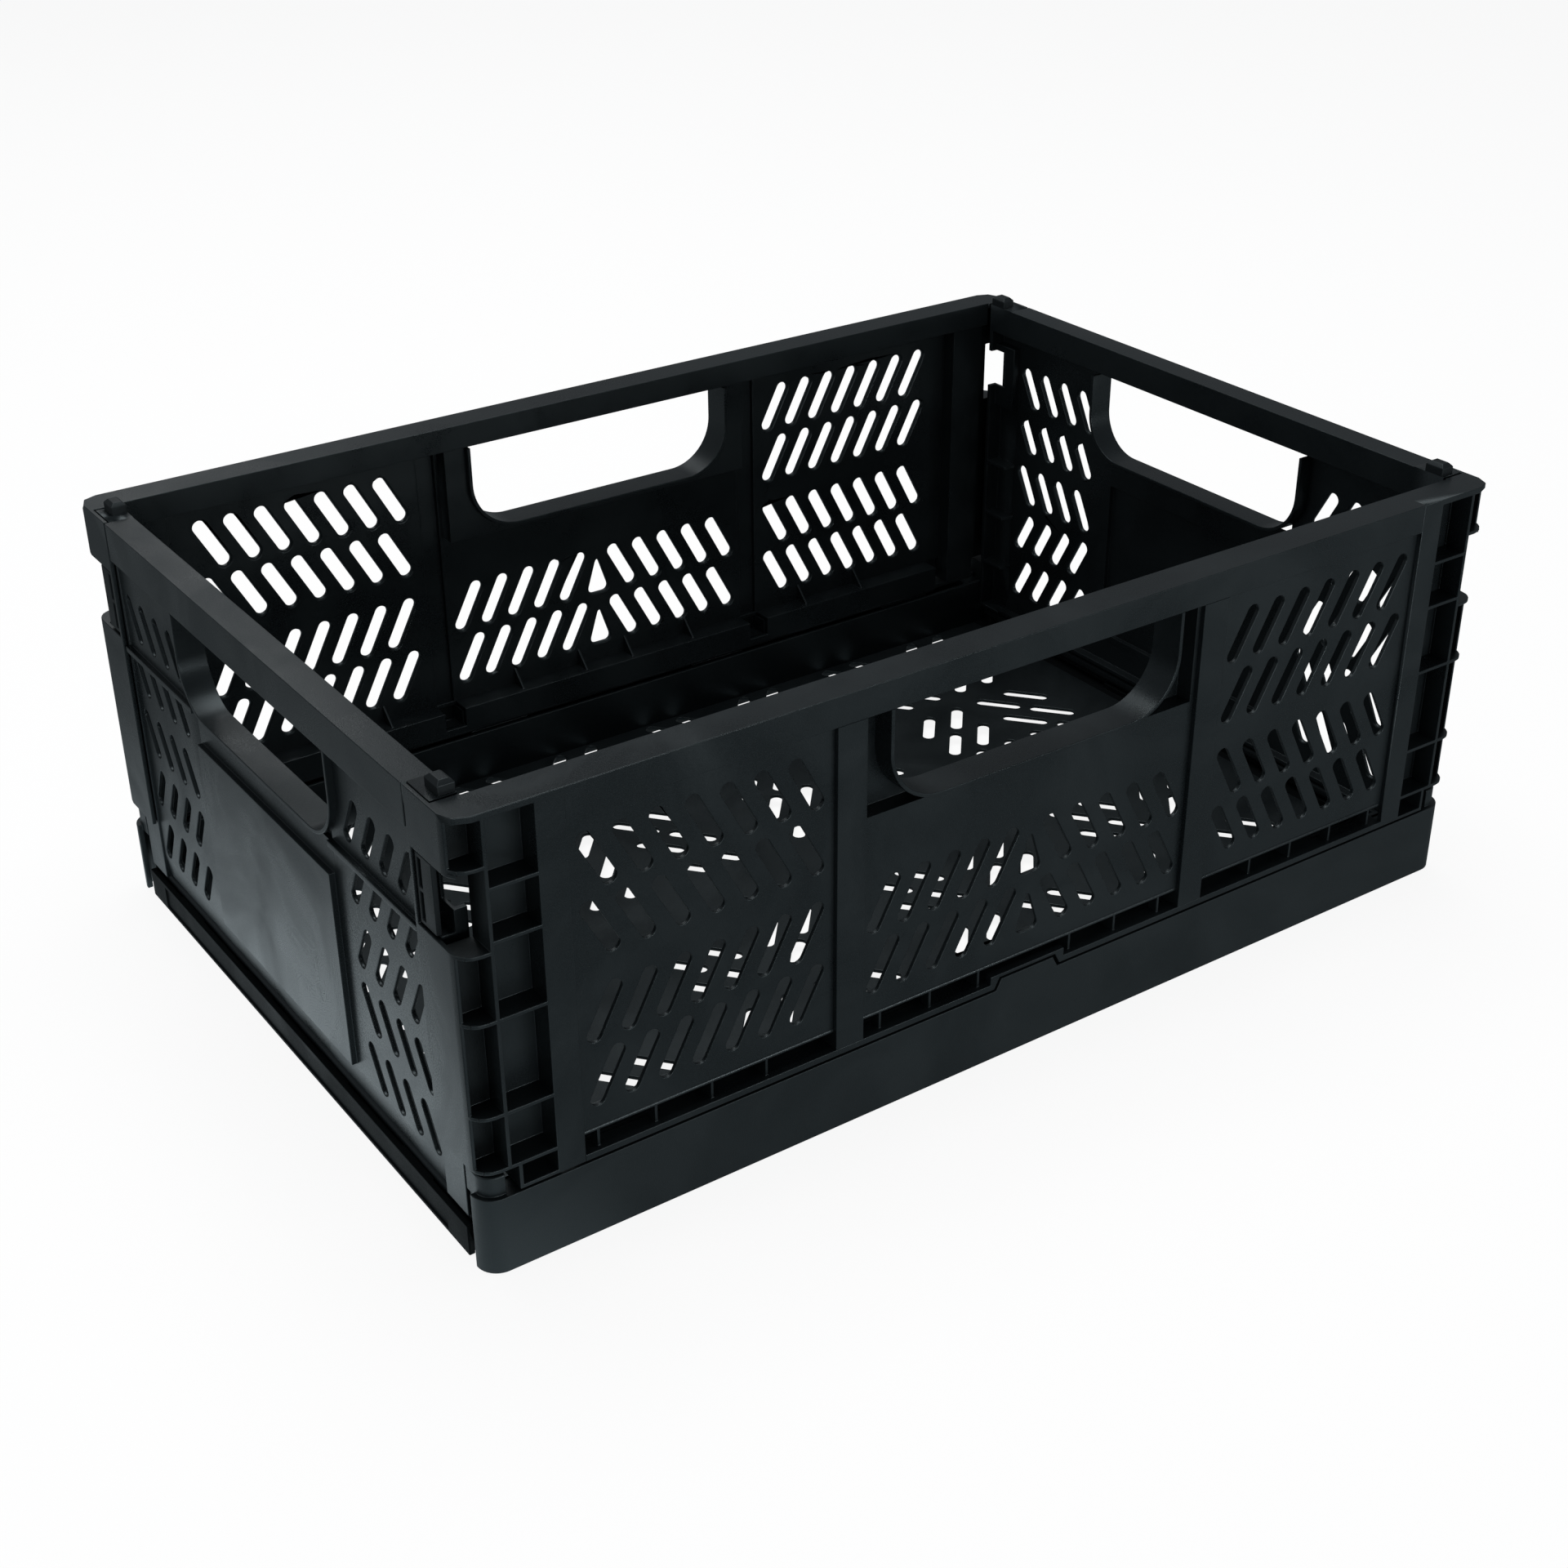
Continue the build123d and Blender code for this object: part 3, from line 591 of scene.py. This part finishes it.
def shape_post(shape):
    """Open the pockets to the corner and round the shelves there."""
    open_corner(shape)
    corners = upright_edges(shape, 0, SHELF_CHAMFER) + upright_edges(shape, SHELF_CHAMFER, 0)
    bevel(shape, corners, SHELF_ROUNDING, 4)
    round_corner(shape)


def on_boss(edge):
    """Whether an edge is an outer edge on top of one of the lowered bosses."""
    start, end = (vert.co for vert in edge.verts)
    outer = max(abs(start.x), abs(end.x)) > CORNER_X - BOSS_REACH and abs(start.y) > CORNER_Y - BOSS_REACH
    level = abs(start.z - end.z) < PROBE
    on_top = abs(start.z - BOSS_TOP + BOSS_DROP) < PROBE
    return outer and level and on_top and edge.is_convex


def shape_kerb(shape):
    """End the inner wall under the floor, set the bosses a little lower and round their tops."""
    for vert in shape.verts:
        if abs(vert.co.z - BOSS_TOP) < PROBE:
            vert.co.z -= BOSS_DROP
        if abs(vert.co.z) < PROBE and abs(vert.co.y) < INNER_WALL_REACH:
            vert.co.z = FLOOR_UNDERSIDE + FLOOR_THINNING
    crests = [edge for edge in shape.edges if on_boss(edge)]
    bevel(shape, crests, BOSS_ROUNDING, 3, clamped=True)


def add_block(shape, low, high):
    """Add a block between two corners to a shape."""
    block = bmesh.ops.create_cube(shape, size=1.0)["verts"]
    size = [high[axis] - low[axis] for axis in range(3)]
    centre = [(high[axis] + low[axis]) / 2 for axis in range(3)]
    bmesh.ops.scale(shape, vec=size, verts=block)
    bmesh.ops.translate(shape, vec=centre, verts=block)


def sink_panel(shape, panel):
    """Set one panel of the press tab's face back to the bottom of a slit."""
    sunk = bmesh.ops.extrude_face_region(shape, geom=[panel])["geom"]
    verts = [part for part in sunk if isinstance(part, bmesh.types.BMVert)]
    bmesh.ops.translate(shape, vec=(SLIT_DEPTH, 0, 0), verts=verts)
    bmesh.ops.delete(shape, geom=[panel], context="FACES_ONLY")


def cut_slits(shape, slit_y, slit_z):
    """Sink two upright slits into the press tab's face, one over the other."""
    for axis, cuts in ((1, slit_y), (2, slit_z)):
        for cut in cuts:
            cut_along(shape, axis, cut)
    for bottom, top in (slit_z[:2], slit_z[2:]):
        for panel in shape.faces[:]:
            centre = panel.calc_center_median()
            in_slit = slit_y[0] < centre.y < slit_y[1] and bottom < centre.z < top
            if panel.normal.x < -SQUARE_ON and in_slit:
                sink_panel(shape, panel)
    whole_faces(shape)


def latch_shape(node):
    """Press tab with its slits and its spine, made at the left front and turned to its place."""
    low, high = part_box(node)
    across = sorted((abs(low[0]), abs(high[0])))
    along = sorted((abs(low[1]), abs(high[1])))
    face = TAB_RECESS - across[1]
    back = face + TAB_THICKNESS
    far = -along[0]
    shape = bmesh.new()
    add_block(shape, (face, -along[1], low[2]), (back, far, high[2]))
    middle = (low[2] + high[2]) / 2
    half = SLIT_MARGIN / 2
    slit_y = (far - SLIT_MARGIN - SLIT_WIDTH, far - SLIT_MARGIN)
    slit_z = (low[2] + SLIT_MARGIN, middle - half, middle + half, high[2] - SLIT_MARGIN)
    cut_slits(shape, slit_y, slit_z)
    add_block(shape, (back - PROBE, far - SPINE_THICKNESS, low[2]), (-across[0], far, high[2]))
    turn = (1 if low[0] < 0 else -1, 1 if low[1] < 0 else -1, 1)
    bmesh.ops.scale(shape, vec=turn, verts=shape.verts)
    bmesh.ops.recalc_face_normals(shape, faces=shape.faces)
    return shape


def solid_tree(node):
    """A search tree of the node's solid with the box that bounds it."""
    shape = bmesh.new()
    shape.from_mesh(frame["nodes"][node].data)
    tree = BVHTree.FromBMesh(shape)
    shape.free()
    low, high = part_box(node)
    return tree, low, high


TREES = {node: solid_tree(node) for node in frame["nodes"]}


def inside(node, point):
    """Whether a point lies in the node's solid."""
    tree, low, high = TREES[node]
    if any(point[axis] < low[axis] or point[axis] > high[axis] for axis in range(3)):
        return False
    crossings = 0
    start = point
    while True:
        hit = tree.ray_cast(start, PROBE_RAY)[0]
        if hit is None:
            return crossings % 2 == 1
        crossings += 1
        start = hit + PROBE_RAY * JOIN


def neighbours(node):
    """Other nodes of the same moulding whose boxes touch this one's box."""
    low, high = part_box(node)
    near = []
    for other in frame["nodes"]:
        other_low, other_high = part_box(other)
        apart = any(
            low[axis] > other_high[axis] + PROBE or high[axis] < other_low[axis] - PROBE for axis in range(3)
        )
        if other != node and body_of_node(other) == body_of_node(node) and not apart:
            near.append(other)
    return near


def on_seam(edge, near):
    """Whether one of the edge's faces lies against the next part of the same moulding."""
    first, second = (face.normal * PROBE for face in edge.link_faces)
    start, end = (vert.co for vert in edge.verts)
    for share in SEAM_SHARES:
        point = start.lerp(end, share)
        for beside in (point + first - second, point + second - first):
            if any(inside(other, beside) for other in near):
                return True
    return False


def soften(shape, near):
    """Round the edges of a moulding, and mark sharp those where it runs on into its next part."""
    soft = []
    for edge in shape.edges:
        if len(edge.link_faces) == 2 and edge.calc_face_angle() > SHARP_ANGLE:
            if on_seam(edge, near):
                edge.smooth = False
            else:
                soft.append(edge)
    bevel(shape, soft, SOFT_EDGE, 2, slide=True)


def finished_piece(node, shape):
    """Turn a node's shape into a piece with its plastic, which takes the node's place on its body."""
    name = f"{node}_moulded"
    slot = SLOTS[node]
    for face in shape.faces:
        face.smooth = True
    mesh = bpy.data.meshes.new(name)
    shape.to_mesh(mesh)
    shape.free()
    piece = add_object(name, mesh)
    # Sills take the plastic with painted shade
    mesh.materials.append(SHADED_SILL_FINISH if "_sill_" in node else FINISHES[slot])
    even = piece.modifiers.new("Even shading", "WEIGHTED_NORMAL")
    even.keep_sharp = True
    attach(piece, body_of_node(node))
    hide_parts(node)
    return piece


def mouldings():
    """Every moulding with round slots and soft edges."""
    for node in sorted(frame["nodes"]):
        shape = latch_shape(node) if "_latch_" in node else node_shape(node)
        axis = sheet_axis(node)
        if axis is not None:
            round_slots(shape, axis)
        if "_skin_" in node:
            widen_slots(shape, axis)
        if node == "base_floor":
            thin_floor(shape)
        if "_post_" in node:
            shape_post(shape)
        if "_kerb_" in node:
            shape_kerb(shape)
        soften(shape, neighbours(node))
        finished_piece(node, shape)


# ---------------------------------------------------------------------------
# Studio


def seen_paint(nodes, links, path):
    """White paint that keeps a soft shadow, with a glow that only the camera sees."""
    paint = nodes["Principled BSDF"]
    paint.inputs["Base Color"].default_value = STUDIO_PAINT
    paint.inputs["Roughness"].default_value = FLOOR_ROUGHNESS
    glow = nodes.new("ShaderNodeEmission")
    glow.inputs["Strength"].default_value = FLOOR_GLOW
    share = computed(nodes, links, "MULTIPLY", path.outputs["Is Camera Ray"], FLOOR_GLOW_SHARE)
    seen = nodes.new("ShaderNodeMixShader")
    links.new(share, seen.inputs["Fac"])
    links.new(paint.outputs["BSDF"], seen.inputs[1])
    links.new(glow.outputs["Emission"], seen.inputs[2])
    return seen.outputs["Shader"]


def painted_reflection_glow(nodes, links):
    """A glow of the floor that only glosses see, brightest by the crate's left end: a painted reflection on
    that end.
    """
    place = nodes.new("ShaderNodeTexCoord")
    centre = nodes.new("ShaderNodeMapping")
    centre.inputs["Location"].default_value = MIRROR_CENTRE
    centre.inputs["Scale"].default_value = MIRROR_SCALE
    links.new(place.outputs["Object"], centre.inputs["Vector"])
    distance = nodes.new("ShaderNodeVectorMath")
    distance.operation = "LENGTH"
    links.new(centre.outputs["Vector"], distance.inputs[0])
    fade = ranged(nodes, links, distance.outputs["Value"], MIRROR_SPAN, MIRROR_STRENGTH)
    # Painted reflection: this glow is seen only in glosses
    mirrored = nodes.new("ShaderNodeEmission")
    mirrored.inputs["Color"].default_value = REFLECTION_GLOW_WHITE
    links.new(fade, mirrored.inputs["Strength"])
    return mirrored.outputs["Emission"]


def studio_floor_paint():
    """White paint that looks nearly even to the camera, and a glow that only glosses see, brightest by the
    left end: a painted reflection on the crate.
    """
    white = bpy.data.materials.new("Studio white")
    white.use_nodes = True
    nodes, links = white.node_tree.nodes, white.node_tree.links
    path = nodes.new("ShaderNodeLightPath")
    mix = nodes.new("ShaderNodeMixShader")
    links.new(path.outputs["Is Glossy Ray"], mix.inputs["Fac"])
    links.new(seen_paint(nodes, links, path), mix.inputs[1])
    links.new(painted_reflection_glow(nodes, links), mix.inputs[2])
    links.new(mix.outputs["Shader"], nodes["Material Output"].inputs["Surface"])
    return white


def studio_floor():
    """White floor that keeps a soft shadow."""
    sheet = bmesh.new()
    bmesh.ops.create_grid(sheet, x_segments=1, y_segments=1, size=FLOOR_REACH)
    mesh = bpy.data.meshes.new("Studio floor")
    sheet.to_mesh(mesh)
    sheet.free()
    mesh.materials.append(studio_floor_paint())
    add_object("Studio_floor", mesh)


def surround():
    """Dim room that lights the crate, white where the camera sees it."""
    world = bpy.data.worlds.new("Studio surround")
    scene.world = world
    world.use_nodes = True
    nodes, links = world.node_tree.nodes, world.node_tree.links
    room = nodes["Background"]
    room.inputs["Color"].default_value = ROOM_WHITE
    room.inputs["Strength"].default_value = ROOM_STRENGTH
    backdrop = nodes.new("ShaderNodeBackground")
    backdrop.inputs["Color"].default_value = BACKDROP_WHITE
    backdrop.inputs["Strength"].default_value = 1.0
    path = nodes.new("ShaderNodeLightPath")
    mix = nodes.new("ShaderNodeMixShader")
    links.new(path.outputs["Is Camera Ray"], mix.inputs["Fac"])
    links.new(room.outputs["Background"], mix.inputs[1])
    links.new(backdrop.outputs["Background"], mix.inputs[2])
    links.new(mix.outputs["Shader"], nodes["World Output"].inputs["Surface"])


def lamp(name, place, target, width, height, power):
    """A soft lamp that faces its target."""
    light = bpy.data.lights.new(name, "AREA")
    light.shape = "RECTANGLE"
    light.size = width
    light.size_y = height
    light.energy = power
    holder = add_object(name, light)
    holder.location = place
    holder.rotation_euler = (Vector(target) - Vector(place)).to_track_quat("-Z", "Y").to_euler()


def lamps():
    """Key lamp over the crate, softer ones in front, at the left and behind."""
    for values in LAMPS:
        lamp(*values)


def camera():
    """Camera at the viewing angle, with its small roll and lens shift."""
    lens = bpy.data.cameras.new("Camera")
    lens.lens = LENS
    lens.sensor_width = SENSOR_WIDTH
    lens.shift_x, lens.shift_y = LENS_SHIFT
    holder = add_object("Camera", lens)
    aim = (Vector(CAMERA_TARGET) - Vector(CAMERA_PLACE)).to_track_quat("-Z", "Y")
    roll = Euler((0, 0, radians(CAMERA_ROLL))).to_quaternion()
    holder.rotation_mode = "QUATERNION"
    holder.rotation_quaternion = aim @ roll
    holder.location = CAMERA_PLACE
    scene.camera = holder


clear_startup_objects()
mouldings()
studio_floor()
surround()
lamps()
camera()
scene.view_settings.view_transform = "Standard"
